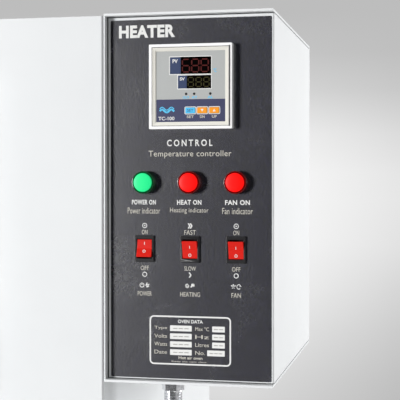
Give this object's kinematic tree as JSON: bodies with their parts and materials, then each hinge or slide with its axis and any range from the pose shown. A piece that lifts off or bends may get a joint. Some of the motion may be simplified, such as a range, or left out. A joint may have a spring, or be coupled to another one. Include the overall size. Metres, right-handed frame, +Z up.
{
  "type": "forced-air drying oven",
  "caption": "Cabinet oven with a hinged window door, shelves, hot-air fan and a side control box with temperature controller, lamps and rocker switches.",
  "frame": {"origin": "on the ground under the middle of the whole oven's bounding box", "axes": "+Z up, the door and control panel face -Y, the control box is on the +X side"},
  "size_m": [0.896, 0.703, 0.8768],
  "materials": {
    "casing_paint": "smooth powder coat",
    "galvanised_sheet": "dull zinc",
    "foot_rubber": "matt",
    "stainless": "brushed",
    "mineral_wool": "fibrous",
    "heater_sheath": "heat-dulled",
    "motor_paint": "satin",
    "bright_metal": "bright plate",
    "black_plastic": "fine grain",
    "panel_film": "fine printed grain",
    "bezel_plastic": "satin",
    "face_plastic": "satin film",
    "display_black": "gloss",
    "green_lens": "frosted lens",
    "red_lens": "frosted lens",
    "device_plastic": "satin",
    "extruded_aluminium": "anodised",
    "gasket_silicone": "silicone",
    "window_glass": "clear",
    "red_rocker": "smooth",
    "blue_key": "film key",
    "orange_key": "film key"
  },
  "bodies": {
    "casing": {"outer_shell": "casing_paint", "rear_panel": "casing_paint", "base_pan": "galvanised_sheet", "feet": "foot_rubber", "chamber_liner": "stainless", "insulation": "mineral_wool", "floor_plate": "stainless", "duct_panel": "stainless", "shelf_supports": "stainless", "upper_shelf": "stainless", "lower_shelf": "stainless", "heating_elements": "heater_sheath", "temperature_probe": "stainless", "vent_tube": "stainless", "motor_bracket": "galvanised_sheet", "fan_motor": "motor_paint", "body_hinge_leaves": "bright_metal", "hinge_pins": "bright_metal", "catch_magnet": "black_plastic", "casing_screws": "bright_metal", "box_shell": "casing_paint", "box_cover": "casing_paint", "control_label": "panel_film", "controller_bezel": "bezel_plastic", "controller_body": "black_plastic", "controller_face": "face_plastic", "display_windows": "display_black", "lamp_bodies": "black_plastic", "power_lamp": "green_lens", "heating_lamp": "red_lens", "fan_lamp": "red_lens", "switch_frames": "black_plastic", "din_rail": "galvanised_sheet", "contactor": "black_plastic", "circuit_breaker": "device_plastic", "terminal_block": "device_plastic", "heat_sink": "extruded_aluminium", "solid_state_relay": "device_plastic", "conduit": "galvanised_sheet", "cable_glands": "bright_metal"},
    "vent_damper": {"vent_cap": "black_plastic"},
    "fan": {"fan_impeller": "galvanised_sheet", "fan_shaft": "bright_metal"},
    "door": {"door_outer_shell": "casing_paint", "door_inner_pan": "stainless", "door_insulation": "mineral_wool", "door_gasket": "gasket_silicone", "window_frame": "stainless", "window_panes": "window_glass", "door_handle": "black_plastic", "door_hinge_leaves": "bright_metal", "door_screws": "bright_metal"},
    "power_switch": {"power_rocker": "red_rocker"},
    "heating_switch": {"heating_rocker": "red_rocker"},
    "fan_switch": {"fan_rocker": "red_rocker"},
    "set_button": {"set_key": "blue_key"},
    "down_button": {"down_key": "orange_key"},
    "up_button": {"up_key": "orange_key"}
  },
  "joints": [
    {"name": "door_swing", "type": "hinge", "parent": "casing", "child": "door", "pos_m": [-0.4105, -0.2835, 0.43], "axis": [0, 0, -1], "range_deg": [0, 120]},
    {"name": "vent_cap_turn", "type": "hinge", "parent": "casing", "child": "vent_damper", "pos_m": [-0.138, 0, 0.854], "axis": [0, 0, 1], "range_deg": [0, 60]},
    {"name": "fan_spin", "type": "hinge", "parent": "casing", "child": "fan", "pos_m": [-0.138, 0.16, 0.47], "axis": [0, 1, 0], "continuous": true},
    {"name": "power_rocker_tilt", "type": "hinge", "parent": "casing", "child": "power_switch", "pos_m": [0.2981, -0.2613, 0.5635], "axis": [1, 0, 0], "range_deg": [0, 28]},
    {"name": "heating_rocker_tilt", "type": "hinge", "parent": "casing", "child": "heating_switch", "pos_m": [0.3515, -0.2613, 0.5635], "axis": [1, 0, 0], "range_deg": [-28, 0]},
    {"name": "fan_rocker_tilt", "type": "hinge", "parent": "casing", "child": "fan_switch", "pos_m": [0.4049, -0.2613, 0.5635], "axis": [1, 0, 0], "range_deg": [-28, 0]},
    {"name": "set_key_press", "type": "slide", "parent": "casing", "child": "set_button", "axis": [0, 1, 0], "range_m": [0, 0.0008], "stiffness_N_per_m": 300},
    {"name": "down_key_press", "type": "slide", "parent": "casing", "child": "down_button", "axis": [0, 1, 0], "range_m": [0, 0.0008], "stiffness_N_per_m": 300},
    {"name": "up_key_press", "type": "slide", "parent": "casing", "child": "up_button", "axis": [0, 1, 0], "range_m": [0, 0.0008], "stiffness_N_per_m": 300}
  ]
}
